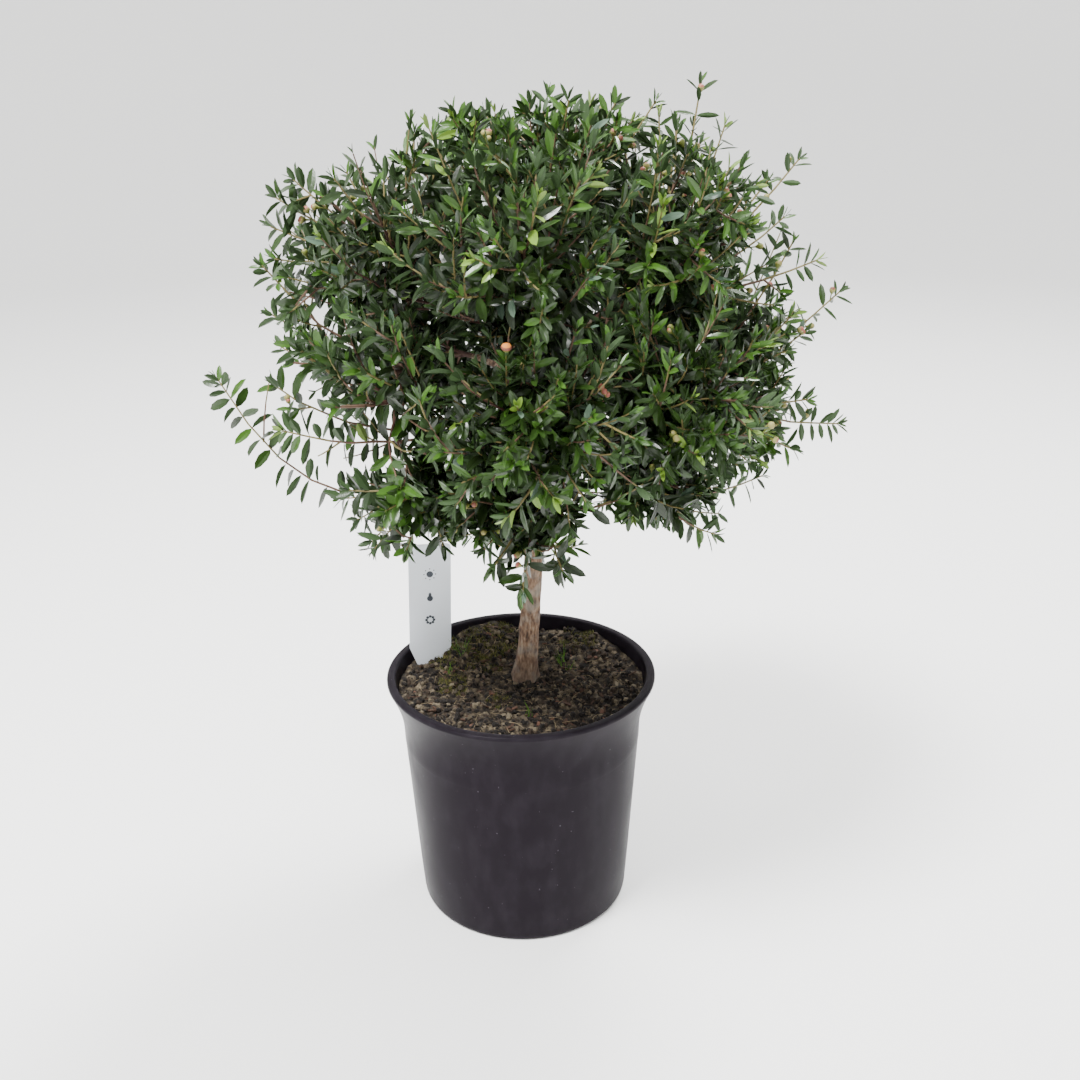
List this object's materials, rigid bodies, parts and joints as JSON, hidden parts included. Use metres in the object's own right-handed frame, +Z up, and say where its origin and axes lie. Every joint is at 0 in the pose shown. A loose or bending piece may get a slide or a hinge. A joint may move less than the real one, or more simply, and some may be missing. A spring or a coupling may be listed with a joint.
{
  "type": "potted standard topiary tree",
  "caption": "Small evergreen shrub grown as a lollipop standard: a loose ball of small-leaved foliage on a slim bare stem, in a round black plastic nursery pot.",
  "frame": {"origin": "middle of the pot's flat underside", "axes": "+Z up along the pot's axis, -Y towards the viewer at the front, +X to the right seen from the front"},
  "size_m": [0.414, 0.3663, 0.5722],
  "materials": {
    "pot_plastic": "soft satin moulded plastic, near black",
    "compost": "rough, crumbly, with bark chips and a little moss",
    "label_plastic": "smooth white moulded tag",
    "bark": "thin pinkish-brown bark, mottled and a little flaky",
    "foliage": "small firm leaves, dark green with a waxy sheen, on thin woody twigs"
  },
  "bodies": {
    "root": {"pot": "pot_plastic", "soil": "compost", "plant_label": "label_plastic", "trunk": "bark", "bough_lower_1": "bark", "bough_lower_2": "bark", "bough_lower_3": "bark", "bough_lower_4": "bark", "bough_lower_5": "bark", "bough_lower_6": "bark", "bough_middle_1": "bark", "bough_middle_2": "bark", "bough_middle_3": "bark", "bough_middle_4": "bark", "bough_middle_5": "bark", "bough_middle_6": "bark", "bough_middle_7": "bark", "bough_middle_8": "bark", "bough_upper_1": "bark", "bough_upper_2": "bark", "bough_upper_3": "bark", "bough_upper_4": "bark", "bough_upper_5": "bark", "mass_top": "foliage", "mass_lower_1": "foliage", "mass_lower_2": "foliage", "mass_lower_3": "foliage", "mass_lower_4": "foliage", "mass_lower_5": "foliage", "mass_lower_6": "foliage", "mass_middle_1": "foliage", "mass_middle_2": "foliage", "mass_middle_3": "foliage", "mass_middle_4": "foliage", "mass_middle_5": "foliage", "mass_middle_6": "foliage", "mass_middle_7": "foliage", "mass_middle_8": "foliage", "mass_upper_1": "foliage", "mass_upper_2": "foliage", "mass_upper_3": "foliage", "mass_upper_4": "foliage", "mass_upper_5": "foliage"}
  },
  "joints": []
}
